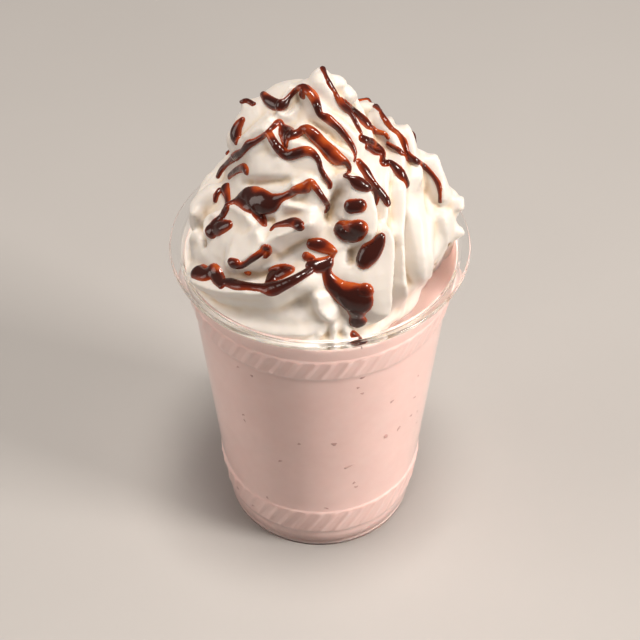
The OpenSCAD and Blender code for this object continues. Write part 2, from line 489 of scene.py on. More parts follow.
# Sharp valleys between folds: depth, half width, route
CLEFTS = [
    (1.8, 2, [(-27, 47.4), (-22, 47), (-14, 47.4), (-6, 48.2), (-3, 49)]),
    (1.8, 1.8, [(-6.8, 76.4), (-9.6, 72.4), (-12.6, 68.8)]),
    (0.7, 2.6, [(-11.4, 62.5), (-12.2, 57.5)]),
    (1.8, 1.6, [(-3.5, 68), (0.5, 65.5), (4, 62), (8, 57.5)]),
    (1.6, 1.6, [(3.2, 80), (4.6, 75), (8, 70), (11.5, 64.5), (13, 58)]),
    (2.8, 2.2, [(7, 45), (5, 41), (4.2, 37), (2, 33)]),
    (4, 2.2, [(15.4, 46.6), (18.2, 43), (19.4, 38), (19, 33.5)]),
    (4, 2.4, [(24.6, 27), (24.6, 20), (24.2, 12), (23, 4), (20.6, -2)]),
    (5.2, 2, [(29.8, 35.5), (30.2, 27), (30.8, 19), (31.2, 11)]),
    (1.2, 1.8, [(36.4, 45), (37, 35.5)]),
    (0.7, 2, [(39.6, 34), (39.2, 26), (37.6, 16)]),
    (2.6, 2, [(43.8, 25.5), (44.2, 22.5)]),
    (1.4, 2, [(24, 48), (24.3, 40), (24.2, 32)]),
    (2.4, 2.6, [(11.4, 24.5), (11, 18.5)]),
    (1.2, 2.6, [(-16, 21.5), (-12, 23.5), (-7, 26.5), (-3, 28)]),
    (2.2, 2, [(-21.5, 36.5), (-19, 34), (-15, 34)]),
    (2.6, 2.6, [(-42, 33), (-40.5, 29), (-39, 25.5)]),
    (0.5, 2.4, [(-14, 3.6), (-9, 6.5), (-3.4, 11)]),
    (0.6, 1.8, [(-40, 10.5), (-32, 8.6), (-24, 8), (-15, 7.8)]),
    (2, 1.8, [(-27, 15.5), (-20, 15.5), (-13, 17)]),
]

# Places where the cream swells, or sinks if the reach is negative: across, up, reach, half width
# across, half width up
SWELLS = [
    (-28, 27, 2.5, 8, 7),
    (-3, 12.5, 1.6, 4, 4),
    (-14, 53, 1, 9, 5),
    (10, 35, 1.2, 6, 8),
    (14, 14, 1.2, 7, 9),
    (-41, 29, -2, 3, 4),
    (-12, 23, -1, 5, 4),
    (-11.5, 62, -0.4, 2, 3),
    (30, 25, -1.6, 1.6, 9),
    (4, 36, -3, 4, 7),
    (7, 18.5, 0.4, 3, 4),
    (-1.5, 35, 2, 4, 4.5),
    (44, 24, -2.4, 2, 2),
    (24.5, 12, -1.6, 2, 8),
    (-7, 6, -0.8, 5, 2.5),
    (-18, -1, 1.8, 12, 4),
    (35, 22, 1.2, 5, 9),
]

# The back isn't seen from the front, so its flutes stand in plain rows: upper and lower height
# over the lip, number of flutes, and slant in degrees round the axis
BACK_ROWS = [(42, 30, 6, 30), (28, 8, 9, 26), (12, -3, 11, 16)]
BACK_FROM, BACK_TO = 8, 172          # degrees round the axis
FLUTE_H = (1.8, 2.8)                 # lowest and highest flute
FLUTE_WIDTHS = (5.0, 3.4)


def back_folds():
    """Crests of the flutes on the back, uneven in height and place: (height, width, width, route)."""
    rng = np.random.default_rng(21)
    rows = []
    for high, low, count, slant in BACK_ROWS:
        for k in range(count):
            a = BACK_FROM + (BACK_TO - BACK_FROM) * (k + 0.5 + rng.uniform(-0.12, 0.12)) / count
            route = []
            for t in np.linspace(0, 1, 6):
                route.append((a + slant * (t - 0.4), high + (low - high) * t + rng.uniform(-0.6, 0.6)))
            rows.append((rng.uniform(*FLUTE_H), *FLUTE_WIDTHS, route))
    return rows


# The mound under the folds: height over the lip, reach to the left, right, front and back,
# and how far its middle stands behind the cup's
MOUND = [
    (-8, 42.5, 42.5, 41.5, 42, 0),
    (2, 42, 43.2, 41, 42.5, 0),
    (9, 40.5, 43.2, 38.5, 40.5, 0),
    (16, 33.5, 39.5, 35.5, 36.5, 0),
    (25, 27.5, 34.5, 31, 32, 1),
    (33, 24.5, 28, 27, 27, 2),
    (40, 22.5, 18.5, 22.5, 20.5, 3),
    (46, 19, 10.5, 16.5, 15, 5),
    (52, 12, 6, 10.5, 9.5, 6),
    (57, 5.5, 3.5, 5.5, 5, 6),
    (61, 2, 2, 2.5, 2.5, 6),
]

# How far the cream stands back from the glass beside the bay: direction in degrees, and mm
BAY_SHAPE = [(-74, 0), (-64, 1.5), (-56, 4.5), (-48, 6.6), (-38, 5.2), (-30, 6.2), (-20, 7.4),
             (-8, 6.4), (0, 3.4), (6, 0)]
BAY_FADE = (-5, 15)       # the bay fades out between these heights over the lip


def bay_depth(degrees, heights):
    """How far the cream stays off the glass, at directions and heights over the lip."""
    deep = np.interp(degrees, *zip(*BAY_SHAPE))
    return deep * (1 - ramp(heights, *BAY_FADE))


# Solid masses that stand out of the mound, as chains of balls: across, up, mm behind the axis, radius
MASSES = [
    [(-1, 74, 6, 7), (-0.6, 79, 6, 4.2), (-0.1, 82.3, 6, 2.2), (0.2, 84.4, 6, 0.9)],
    [(1, 78, 7, 4.4), (3.4, 81, 7, 2.4), (4.6, 81.8, 7, 1.8)],
    [(4, 74, 7, 4.6), (6.6, 76.8, 7, 2.6), (8, 77.8, 7, 1.8)],
    [(-4, 74, 9, 7.2), (-9, 73.4, 9, 8.2), (-14, 72.2, 9, 7), (-18, 71, 9, 5.2)],
    [(-19, 71.5, 9, 4.6), (-22.5, 73, 9, 2.6), (-25, 74.2, 9, 1.7), (-27.2, 74.8, 9, 1)],
    [(-21, 70, 7, 5), (-24.8, 67, 7, 4.5), (-26.8, 62.8, 6, 3.9)],
    [(-20, 66, 6, 5.6), (-22.5, 62, 6, 4.6)],
    [(13, 63.5, 6, 5.2), (20, 62.5, 5, 5.2), (27, 57.5, 3, 5), (32, 53, 2, 4.6), (37, 47, 0, 4.6),
     (41, 42.3, -2, 4.6), (44, 38.6, -3, 4.2)],
    [(40, 34, -8, 5.4), (43.2, 30, -8, 4.2), (44.4, 26, -9, 3.2), (42, 22.4, -11, 2.4)],
    [(-36, 43, 2, 4), (-41, 38.5, 0, 3.4), (-41.8, 32, -2, 3)],
]


def at_depth(across, up, behind):
    """The point that the eye sees at (across, up) so far behind the cup's axis."""
    way = on_board(across, up) - EYE
    return EYE + way * ((behind - EYE.y) / way.y)


def mound_rings():
    """Rings of the mound with its bay, as points and faces."""
    rows = np.array(MOUND, float)
    heights = np.concatenate([[LEVEL - CUP_H - 2], np.linspace(LEVEL - CUP_H, rows[-1, 0], 60)])
    turns = np.radians(np.arange(0, 360, 2.5))
    out_x, out_y = np.cos(turns), np.sin(turns)
    degrees = (np.degrees(turns) + 180) % 360 - 180
    points = []
    for h in heights:
        left, right, front, back, shift = [np.interp(h, rows[:, 0], rows[:, k]) for k in range(1, 6)]
        a = np.where(out_x > 0, right, left)
        b = np.where(out_y > 0, back, front)
        r = 1 / np.sqrt((out_x / a) ** 2 + (out_y / b) ** 2)
        r = r - bay_depth(degrees, h)
        points.append(np.stack([r * out_x, r * out_y + shift, np.full(len(turns), CUP_H + h)], 1))
    return np.vstack(points), ring_faces(len(heights), len(turns))


def add_balls(points, faces, balls):
    """Adds a round ball for every (x, y, z, radius)."""
    rows, count = 8, 12
    for x, y, z, r in balls:
        base = len(points)
        points.append((x, y, z - r))
        for i in range(1, rows):
            polar = math.pi * i / rows
            for j in range(count):
                a = 2 * math.pi * j / count
                points.append((x + r * math.sin(polar) * math.cos(a), y + r * math.sin(polar) * math.sin(a),
                               z - r * math.cos(polar)))
        points.append((x, y, z + r))
        top = base + 1 + (rows - 2) * count
        for j in range(count):
            k = (j + 1) % count
            faces.append((base, base + 1 + k, base + 1 + j))
            faces.append((top + j, top + k, len(points) - 1))
            for i in range(rows - 2):
                p = base + 1 + i * count
                faces.append((p + j, p + k, p + count + k, p + count + j))


CORE_VOXEL, CREAM_VOXEL = 1.0, 0.6
CORE_SMOOTH = 5           # passes that round the joints between the mound and its masses
THINNEST_BALL = 0.7
ROUTE_STEP = 1.5          # distance between points of a fold's crest or a chain of balls
BACK_ROUTE_STEP = 3


def make_core():
    """The mound and its solid masses, joined and smoothed to one even mesh."""
    points, faces = mound_rings()
    points = [tuple(p) for p in points]
    for chain in MASSES:
        balls = []
        for across, up, behind, radius in dense(chain, ROUTE_STEP):
            balls.append((*at_depth(across, up, behind), max(radius, THINNEST_BALL)))
        add_balls(points, faces, balls)
    core = mesh_piece("cream_core", points, faces)
    remesh(core, CORE_VOXEL)
    smooth(core, CORE_SMOOTH)
    return core


FOLD_GAIN = 1.3           # folds and clefts are this many times as high as their tables say
RAMP_UP, RAMP_DOWN = 0.12, 0.2       # how gently a crest starts and ends


def fold_height(points, normals, line, height, width_a, width_b):
    """How high one fold lifts each point; line holds its crest as points on the core."""
    lift = np.zeros(len(points))
    if len(line) < 2:
        return lift
    reach = max(width_a, width_b) + 1
    near = np.where(np.all((points > line.min(0) - reach) & (points < line.max(0) + reach), 1))[0]
    p, n = points[near], normals[near]
    nearest, side, along = np.full(len(near), 1e9), np.zeros(len(near)), np.zeros(len(near))
    for i in range(len(line) - 1):
        a, c = line[i], line[i + 1]
        way = c - a
        t = np.clip(((p - a) @ way) / max(way @ way, 1e-9), 0, 1)
        gap = p - (a + t[:, None] * way)
        d = np.linalg.norm(gap, axis=1)
        hit = d < nearest
        nearest[hit] = d[hit]
        side[hit] = np.einsum("ij,ij->i", np.cross(way, n[hit]), gap[hit])
        along[hit] = ((i + t) / (len(line) - 1))[hit]
    x = np.clip(nearest / np.where(side > 0, width_a, width_b), 0, 1)
    ends = np.minimum(1, np.minimum(along / RAMP_UP + 0.35, (1 - along) / RAMP_DOWN + 0.1))
    lift[near] = FOLD_GAIN * height * ends * ((1 - x) ** 1.5 * 0.75 + 0.25 * (1 - x * x))
    return lift


def add_swells(lift, points, normals):
    """Adds the swells to the lift of the points that face the eye."""
    ray = points - np.array(EYE)
    depth = -(ray @ np.array(TO_EYE))
    across = ray @ np.array(RIGHT) * DISTANCE / depth
    up = ray @ np.array(UP) * DISTANCE / depth
    facing = normals @ np.array(TO_EYE) > -0.35
    for a, u, reach, half_a, half_u in SWELLS:
        lift += reach * np.exp(-((across - a) / half_a) ** 2 - ((up - u) / half_u) ** 2) * facing


RIPPLE = 0.35             # height of the uneven surface
FOLD_POWER = 4            # where folds meet, the higher one wins


def make_cream():
    """The core with its folds, clefts and swells, seated in the cup."""
    core = make_core()
    mesh = core.data
    tree = tree_of(mesh)
    points, normals = points_of(mesh), normals_of(mesh)
    total = np.zeros(len(points))
    for folds, cast, step in ((FOLDS, drop, ROUTE_STEP), (back_folds(), wrap, BACK_ROUTE_STEP)):
        for height, width_a, width_b, route in folds:
            line = laid_on(tree, cast, route, step)
            total += fold_height(points, normals, line, height, width_a, width_b) ** FOLD_POWER
    lift = total ** (1 / FOLD_POWER)
    for depth, half, route in CLEFTS:
        line = laid_on(tree, drop, route, ROUTE_STEP)
        lift -= fold_height(points, normals, line, depth, half, half)
    add_swells(lift, points, normals)
    ripple = [noise.noise(Vector(p) / 6) + 0.5 * noise.noise(Vector(p) / 2.5) for p in points]
    lift += RIPPLE * np.array(ripple)
    set_points(mesh, seat_in_cup(points + normals * lift[:, None]))
    core.name = "piped_cream"
    remesh(core, CREAM_VOXEL)
    smooth(core, 1)
    set_points(core.data, seat_in_cup(points_of(core.data)))
    core.data.shade_smooth()
    return core


WALL_GAP = 0.15           # the cream stays this far off the cup's wall
BAY_EDGE = (0.3, 2.5)     # depths of the bay over which the cream lets go of the wall
LIP_EDGE = (CUP_H - 6, CUP_H - 1.5)  # and heights, towards the lip
FILL_RADII = (30, 40)     # only cream this far from the axis is moved out to the wall
BAY_PULL = 0.7            # share by which cream that stands out into the bay is drawn back


def seat_in_cup(points):
    """Fills the mouth of the cup out to the wall, but for the bay on the right, and stays inside it."""
    plan = np.hypot(points[:, 0], points[:, 1])
    z = points[:, 2]
    wall = inside_at(np.clip(z, 20, CUP_H - 0.1)) - WALL_GAP
    bay = bay_depth(turned(points), z - CUP_H)
    filled = (1 - ramp(bay, *BAY_EDGE)) * (1 - ramp(z, *LIP_EDGE))
    wanted = plan + (wall - plan) * filled * ramp(plan, *FILL_RADII)
    proud = np.maximum(wanted - (wall - bay), 0)
    wanted = np.where(bay > BAY_EDGE[0], wanted - BAY_PULL * proud * ramp(bay, *BAY_EDGE), wanted)
    wanted = np.where(z < CUP_H + 1, np.minimum(wanted, wall), wanted)
    scale = np.minimum(wanted, LIP_R - 1.0) / np.maximum(plan, 1e-6)
    moved = points.copy()
    moved[:, 0] *= scale
    moved[:, 1] *= scale
    moved[:, 2] = np.maximum(z, LEVEL - 1.5)
    return moved


CREVICE_SHADE_FULL = 0.55       # from this depth on a crevice has its full painted shade


def mark_crevice_shade(cream):
    """Stores on the mesh how deep in a crevice each corner lies, 0 to 1, which sets how much painted shade
    the cream's colour gets there.
    """
    mesh = cream.data
    pairs = edge_pairs(mesh)
    points, normals = points_of(mesh), normals_of(mesh)
    depth = np.einsum("ij,ij->i", relax(points, pairs, 24) - points, normals)
    store_value(mesh, "crevice", np.clip(relax(depth, pairs, 2) / CREVICE_SHADE_FULL, 0, 1))


# ---------------------------------------------------------------- chocolate sauce
# Strands as they were poured: across, up and width in mm on the board.

STRANDS = [
    [(1, 86, 1.5), (2, 83.5, 1), (3.4, 80.5, 1.5), (5, 78, 1.3), (7, 74.3, 1.4), (9, 72.3, 1.8),
     (10.5, 70.8, 1.2), (12.5, 67, 0.9), (14, 64, 0.8)],
    [(7.3, 75.4, 1.3), (9.5, 73.2, 1.7), (11.5, 71.2, 2.4), (14.5, 68.5, 2.5), (18.5, 64.8, 1.6),
     (22, 63.7, 1.1), (23.2, 62.3, 0.9)],
    [(19.2, 73, 1.8), (20.5, 71.3, 1.3), (22.5, 68.2, 1.6), (24.5, 65.5, 1.4), (26.5, 63.8, 1.7),
     (28.5, 61, 2), (29.6, 58, 1.2), (31, 56, 1.2), (34, 53.8, 1.5), (37, 51.2, 1.3), (39.2, 48.6, 1.2),
     (40.6, 46, 1.5), (41, 43, 0.9), (41, 40.5, 1)],
    [(23.3, 60.3, 1.1), (27, 58, 1.3), (30, 55.4, 1.4), (33, 54, 1.4)],
    [(14.3, 62.2, 2), (18, 60.4, 2.4), (21, 57.8, 2), (21.4, 55.4, 1.6), (21.8, 53.5, 2.4), (24, 53.8, 1.6),
     (26.5, 51.4, 2.6), (28.5, 48.8, 2.8), (29.3, 46.8, 3)],
    [(16, 59.3, 1.6), (18.5, 57.8, 2.2), (20.5, 57.2, 1.6)],
    [(13.3, 53.8, 2.2), (15.5, 51, 2.8), (18, 47, 2), (21, 43.3, 2), (23.3, 40, 2)],
    [(8.5, 49.4, 0.9), (10.5, 48.4, 1.3), (13, 46.8, 3.4), (15.5, 45.6, 2.8), (18.5, 45, 1.7),
     (19.5, 42.5, 1.7), (19.2, 40, 1.1)],
    [(-19.5, 77.2, 1.8), (-17.5, 75, 3), (-15, 73.6, 3.4), (-12.5, 73.8, 2.8), (-10.7, 76, 1.3),
     (-8.3, 78.6, 1.3), (-5.8, 79.8, 2), (-4, 78.5, 2.2), (-2, 76, 2.6), (-1, 73, 2.2), (0, 70.3, 1.7),
     (2.5, 68.8, 2.4), (6, 66, 2), (9, 62.5, 1.6), (11, 59.5, 1.3), (11.9, 57, 1.1), (11.7, 54.6, 0.8)],
    [(-5.8, 79.2, 1.6), (-6, 76.8, 2.2)],
    [(-34.8, 49.2, 1.3), (-33.5, 51.5, 1.7), (-30.5, 54.5, 2), (-28.5, 56.2, 2.6), (-26.5, 57.6, 1.8),
     (-24.5, 60, 2.2), (-22, 61.2, 1.5), (-19, 63.2, 1.3), (-16.5, 65.6, 1.2), (-14.1, 67.7, 1.6),
     (-12.8, 66, 1.8), (-11.2, 63.6, 4.6), (-9, 63.2, 2.6), (-7, 64.2, 2), (-5, 65.3, 2.6),
     (-2.5, 63.3, 3.4), (1, 60, 3.6), (4, 56.8, 4.4), (6.5, 54.9, 3.6), (8.8, 54, 1.7), (10, 52.3, 1.1),
     (9.8, 50.5, 0.9), (8.5, 49.3, 0.8)],
    [(-11, 62.4, 4.2), (-11.3, 60.4, 2.6)],
    [(-17.4, 64, 1.8), (-15.8, 61, 2.2), (-13.6, 58, 2.6), (-11, 56.4, 2.8), (-8, 57, 2.8), (-5, 57.8, 2.6),
     (-2.5, 57, 1.9), (-0.5, 54.5, 1.3), (0.3, 51.5, 1.2), (2, 48.5, 1.3), (3.3, 46.8, 1.2),
     (3.4, 45.4, 0.9)],
    [(-30.5, 49.3, 2.4), (-28.5, 51, 2.2), (-26, 52, 2.6), (-25, 51, 2.4)],
    [(-26.6, 68.3, 1.8), (-28.2, 66, 3.4), (-28.8, 63.5, 4), (-28.2, 61.5, 3)],
    [(-26.8, 74.6, 0.9), (-25, 75, 1.3), (-22.8, 73.8, 1.3)],
    [(-32.3, 45, 3.6), (-31.6, 42.6, 2.8), (-31.4, 39.8, 2.2), (-32.8, 36.6, 2), (-34.5, 34, 2.8),
     (-36.2, 30.9, 5.6)],
    [(-36, 31, 5), (-33.5, 31.6, 4.6), (-31, 32.4, 2.8)],
    [(-31, 39.6, 1.8), (-28.5, 40.5, 3), (-26, 41.2, 5.6), (-23, 41, 8), (-20, 40.5, 7.4), (-17, 40, 5.6),
     (-13, 41.8, 2.4), (-10.5, 43, 2), (-8, 44.5, 2.6), (-5, 45.3, 3.2), (-3.3, 47, 2.2), (-1.5, 45.3, 1.8),
     (0.5, 42.5, 1.4), (2.2, 40, 1.4), (2.6, 38.3, 1.6), (1.8, 37.2, 1.1)],
    [(-21, 37, 4), (-20, 34.6, 2.8), (-19, 32.4, 1.4)],
    [(-34.3, 44.5, 1.3), (-35.5, 42.5, 1.5), (-35.8, 40.8, 1.1)],
    [(-16.5, 31, 1.1), (-15, 32.3, 1.5), (-12, 33, 2.4), (-9, 33.4, 3.2), (-6.9, 32.2, 2.8)],
    [(-30.6, 20.2, 1.8), (-29, 19.1, 3.2), (-27, 18.8, 2.8), (-24.5, 20, 2), (-22.5, 21.5, 2.6),
     (-20, 23.3, 2.4), (-18.3, 25, 2.2), (-17.8, 23.2, 2.2), (-18.5, 21.8, 1.4)],
    [(-24.7, 16.3, 1.9)],
    [(-41.4, 16.4, 5.4), (-38.6, 15.4, 5.2), (-35.8, 16.4, 5), (-34.6, 14, 4), (-33.5, 11.6, 2)],
    [(-34, 12.9, 2), (-31, 12.8, 3.2), (-28, 11.8, 3.4), (-24, 11.4, 2.8), (-20, 11, 3), (-16.5, 11, 4.4),
     (-13, 12, 3.4), (-9, 13.8, 2.8), (-6, 15.5, 2.4), (-3.5, 17, 2.2)],
    [(-16.6, 13.2, 4), (-15.2, 15.4, 5.2), (-12.6, 16.2, 5), (-10.4, 16.7, 3.4)],
    [(-4.6, 21.8, 2.4), (-2.8, 21, 1.8)],
    [(-3.3, 18.7, 2.8), (-0.5, 18.6, 4.2), (2, 19.2, 4), (3.6, 21.2, 1.6), (4.6, 23, 1.2)],
    [(-2.8, 26, 3), (0, 25.6, 4), (3, 24.3, 3), (5, 23.4, 1.3)],
    [(2.2, 19.5, 2), (2.4, 17, 2.4), (2.7, 15, 3.2), (4.5, 12.3, 4.8), (7, 10.2, 6.2), (10, 8.4, 8.4),
     (12.4, 7, 10.2)],
    [(13, 9, 5), (15.6, 10, 4.6)],
    [(12.5, 3.5, 6), (12.6, 1.6, 4.2), (13, -0.2, 5.2)],
    [(11.2, -4.8, 2), (12.4, -5.8, 2), (13.4, -7.2, 1.3), (14.1, -9, 0.9)],
    [(10.5, 38.8, 4), (13.6, 39.1, 3.8)],
    [(7.6, 31, 5), (9.6, 30.4, 6.6), (11.6, 30.5, 6.8), (13.5, 31.3, 5)],
    [(15, 20.5, 5.2), (17, 23, 6), (19.5, 26, 4.2), (21, 28.5, 2)],
]

# Where the sauce ran thin and shows red: across, up and reach in mm
THIN_SPOTS = [
    (-21.2, 45.1, 2.5), (-6.2, 45.5, 3), (-2.7, 46.5, 1.5), (-31.5, 43.8, 2.5), (15, 38.3, 1.5),
    (9.9, 32.8, 1.6), (15.7, 32.1, 1.5), (3.4, 24, 2.2), (-4.1, 21.5, 1.5), (0, 20.5, 2), (-18.5, 23.9, 2),
    (-24.6, 16.4, 2), (-35.5, 17.4, 2), (-14.4, 18.1, 2.2), (9.6, 11.5, 3), (15.7, 10.3, 3), (6.8, 14.4, 3),
    (9.2, 2.7, 1.2), (-8.2, 32.8, 1.5), (12.3, -5.5, 2), (16.1, 46.5, 3), (2.7, 68.4, 2), (-2.7, 76.6, 2),
    (-6.8, 78.3, 1.5), (-4.1, 64.3, 2.5), (0, 60.9, 3), (5.5, 55.4, 3), (-14.4, 67.7, 2), (-17.1, 62.9, 1.5),
    (-4.1, 58.5, 2), (-28, 67, 2), (-26.3, 52, 2), (15, 53.3, 3), (-17.8, 77.3, 1.5), (6.8, 75.2, 2),
    (27, 63, 3), (34, 53.5, 2), (20, 63.5, 3), (18, 60, 2),
]

POUR_STEP = 0.45          # distance between the balls that stand for the sauce
THINNEST_STRAND = 0.6
SAUCE_SPREAD = 0.22       # how far the sauce ran out to each side

# Strands on the back: degrees round the axis, mm over the lip, width
BACK_STRANDS = [
    [(20, 44, 1.4), (45, 42, 1.8), (70, 45, 2.4), (95, 41, 1.8), (120, 43, 2.2), (150, 40, 1.4)],
    [(25, 26, 2.2), (50, 30, 1.6), (75, 25, 2.8), (92, 22, 3.4), (110, 27, 1.8), (135, 29, 2.2),
     (160, 24, 1.4)],
    [(60, 12, 2), (72, 15, 1.4), (84, 11, 2.6), (86, 6, 1.8)],
    [(118, 15, 1.6), (128, 12, 3), (140, 15, 1.6)],
]


def pour(tree):
    """All strands as balls on the cream's surface: centres and radii in mm."""
    centres, radii = [], []
    for strands, cast, step in ((STRANDS, drop, POUR_STEP), (BACK_STRANDS, wrap, 1.0)):
        for strand in strands:
            for *place, width in dense(strand, step):
                hit = cast(tree, *place)
                if hit is not None:
                    centres.append(tuple(hit))
                    radii.append(max(width, THINNEST_STRAND) / 2 + SAUCE_SPREAD)
    return centres, radii


def depth_in_balls(points, centres, radii, margin):
    """How far each point lies inside the nearest ball, and that ball's radius."""
    tree = kdtree.KDTree(len(points))
    for i, p in enumerate(points):
        tree.insert(p, i)
    tree.balance()
    depth = np.full(len(points), -9.0)          # far outside all balls
    size = np.full(len(points), 0.5)
    for centre, radius in zip(centres, radii):
        found = tree.find_range(centre, radius + margin)
        if not found:
            continue
        index = np.array([f[1] for f in found])
        inside = radius - np.array([f[2] for f in found])
        better = inside > depth[index]
        depth[index[better]] = inside[better]
        size[index[better]] = radius
    return depth, size


SKIN_MARGIN = 0.9         # the sauce's skin reaches this far past its balls
SKIN_TRIM = 0.05          # the outermost fringe, which is cut off
SKIN_SINK = 0.05          # its edge dips this deep into the cream
RIM_SLOPE, RIM_WIDE = 0.9, 0.6       # and slopes down on over this width
UNDERSIDE = 0.7           # its underside lies this deep
BEAD_LOW, BEAD_GAIN, BEAD_TOP = 0.30, 0.52, 2.2      # bead height: least, growth with the radius, most
SAUCE_KEPT = 0.7          # share of its triangles that are kept


def sauce_patch(cream, centres, radii):
    """The cream's own surface where the sauce was poured, on a finer mesh."""
    depth, _ = depth_in_balls(points_of(cream.data), centres, radii, SKIN_MARGIN)
    mesh = cream.data.copy()
    bm = bmesh.new()
    bm.from_mesh(mesh)
    bm.verts.ensure_lookup_table()
    bare = [v for v in bm.verts if depth[v.index] < SKIN_TRIM - SKIN_MARGIN]
    bmesh.ops.delete(bm, geom=bare, context="VERTS")
    bmesh.ops.subdivide_edges(bm, edges=bm.edges, cuts=1, use_grid_fill=True, smooth=0.3)
    bm.to_mesh(mesh)
    bm.free()
    return mesh


def closed_skin(top, under, faces):
    """Points and faces of a skin with an upper and an under side, joined all round its edge."""
    count = len(top)
    edges = dict.fromkeys(pair for f in faces for pair in zip(f, f[1:] + f[:1]))
    below = [tuple(v + count for v in reversed(f)) for f in faces]
    sides = [(b, a, a + count, b + count) for a, b in edges if (b, a) not in edges]
    return np.vstack([top, under]), faces + below + sides


POOL_WIDE = 5.5           # size of the patches where the sauce pooled or ran thin
POOL_MEAN, POOL_SWING = 0.62, 0.5
THIN_GAIN = 0.6           # how much a thin spot takes away


def pooling(tree, points):
    """How much the sauce pooled at each point: next to nothing at the thin spots, 1 in a pool."""
    pooled = np.array([POOL_MEAN + POOL_SWING * noise.noise(Vector(p) / POOL_WIDE) for p in points])
    for across, up, reach in THIN_SPOTS:
        spot = drop(tree, across, up)
        if spot is not None:
            gap = np.linalg.norm(points - np.array(spot), axis=1)
            pooled -= THIN_GAIN * np.exp(-(gap / reach) ** 2)
    return np.clip(pooled, 0.03, 1)


DARK_DEPTH = 1.5          # sauce darkens inwards from its edge over about this distance


def make_sauce(cream):
    """A skin on the cream, raised to a round bead where the sauce was poured; wide puddles lie calm."""
    tree = tree_of(cream.data)
    centres, radii = pour(tree)
    patch = sauce_patch(cream, centres, radii)
    points, pairs = points_of(patch), edge_pairs(patch)
    normals = relax(normals_of(patch), pairs, 6)
    normals /= np.linalg.norm(normals, axis=1)[:, None] + 1e-9
    depth, size = depth_in_balls(points, centres, radii, SKIN_MARGIN + RIM_WIDE)
    size, depth = relax(size, pairs, 4), relax(depth, pairs, 1)
    share = np.clip(depth / size, 0, 1)
    bead = np.minimum(BEAD_LOW + BEAD_GAIN * size, BEAD_TOP) * np.sqrt(1 - (1 - share) ** 2)
    rim = -SKIN_SINK - RIM_SLOPE * np.minimum(-depth, RIM_WIDE)
    lift = np.where(depth > 0, bead - SKIN_SINK, rim)
    calm = (ramp(size, 1.1, 2.4) * ramp(share, 0.1, 0.5))[:, None]
    top = relax(points, pairs, 3) * (1 - calm) + relax(points, pairs, 30) * calm
    top += normals * lift[:, None]
    faces = [tuple(f.vertices) for f in patch.polygons]
    sauce = mesh_piece("chocolate_sauce", *closed_skin(top, points - normals * UNDERSIDE, faces))
    pooled = pooling(tree, points)
    thick = np.clip(depth / DARK_DEPTH * (0.3 + 1.3 * pooled) + 0.3 * (pooled - 0.4), 0, 1)
    store_value(sauce.data, "thick", np.concatenate([thick, np.zeros(len(points))]))
    thin_out(sauce, SAUCE_KEPT)
    bpy.data.meshes.remove(patch)
    return sauce


# ---------------------------------------------------------------- materials


def set_inputs(node, constants):
    for socket, value in constants.items():
        node.inputs[socket].default_value = value


def new_material(name, constants):
    """A material and its shader, with these constants set on the shader's own sockets."""
    material = bpy.data.materials.new(name)
    material.use_nodes = True
    nodes = material.node_tree.nodes
    shader = nodes["Principled BSDF"]
    set_inputs(shader, constants)
    return material, nodes, material.node_tree.links, shader


FINER = 6                 # the fine cloud's patches are this much smaller than the wide one's


def mottle_group():
    """Shader group: a soft two-scale cloud, as a mask from 0 to 1 and as a height."""
    group = bpy.data.node_groups.new("mottle", "ShaderNodeTree")
    for way, sockets in (("INPUT", ("Scale", "Fine share")), ("OUTPUT", ("Mask", "Height"))):
        for socket in sockets:
            group.interface.new_socket(socket, in_out=way, socket_type="NodeSocketFloat")
    nodes, links = group.nodes, group.links
    start, end = nodes.new("NodeGroupInput"), nodes.new("NodeGroupOutput")
    place = nodes.new("ShaderNodeTexCoord")
    wide, fine = nodes.new("ShaderNodeTexNoise"), nodes.new("ShaderNodeTexNoise")
    wide.inputs["Detail"].default_value = 3
    fine.inputs["Detail"].default_value = 4
    more = nodes.new("ShaderNodeMath")
    more.operation = "MULTIPLY"
    more.inputs[1].default_value = FINER
    blend = nodes.new("ShaderNodeMix")
    links.new(place.outputs["Object"], wide.inputs["Vector"])
    links.new(place.outputs["Object"], fine.inputs["Vector"])
    links.new(start.outputs["Scale"], wide.inputs["Scale"])
    links.new(start.outputs["Scale"], more.inputs[0])
    links.new(more.outputs[0], fine.inputs["Scale"])
    links.new(start.outputs["Fine share"], blend.inputs["Factor"])
    links.new(wide.outputs["Fac"], blend.inputs["A"])
    links.new(fine.outputs["Fac"], blend.inputs["B"])
    links.new(blend.outputs["Result"], end.inputs["Mask"])
    links.new(fine.outputs["Fac"], end.inputs["Height"])
    return group


MOTTLE = mottle_group()


def add_mottle(nodes, scale, fine_share):
    node = nodes.new("ShaderNodeGroup")
    node.node_tree = MOTTLE
    set_inputs(node, {"Scale": scale, "Fine share": fine_share})
    return node


def add_stored(nodes, name):
    """Reads a value that store_value() kept on the mesh."""
    node = nodes.new("ShaderNodeAttribute")
    node.attribute_name = name
    return node


def add_ramp(nodes, links, value, stops):
    """Turns a value from 0 to 1 into a colour between the stops."""
    node = nodes.new("ShaderNodeValToRGB")
    bar = node.color_ramp
    while len(bar.elements) < len(stops):
        bar.elements.new(0.5)
    for element, (place, colour) in zip(bar.elements, stops):
        element.position = place
        element.color = (*colour, 1)
    links.new(value, node.inputs["Fac"])
    return node.outputs["Color"]


def add_bump(nodes, links, height, shader, strength, distance_mm):
    bump = nodes.new("ShaderNodeBump")
    set_inputs(bump, {"Strength": strength, "Distance": distance_mm * MM})
    links.new(height, bump.inputs["Height"])
    links.new(bump.outputs["Normal"], shader.inputs["Normal"])


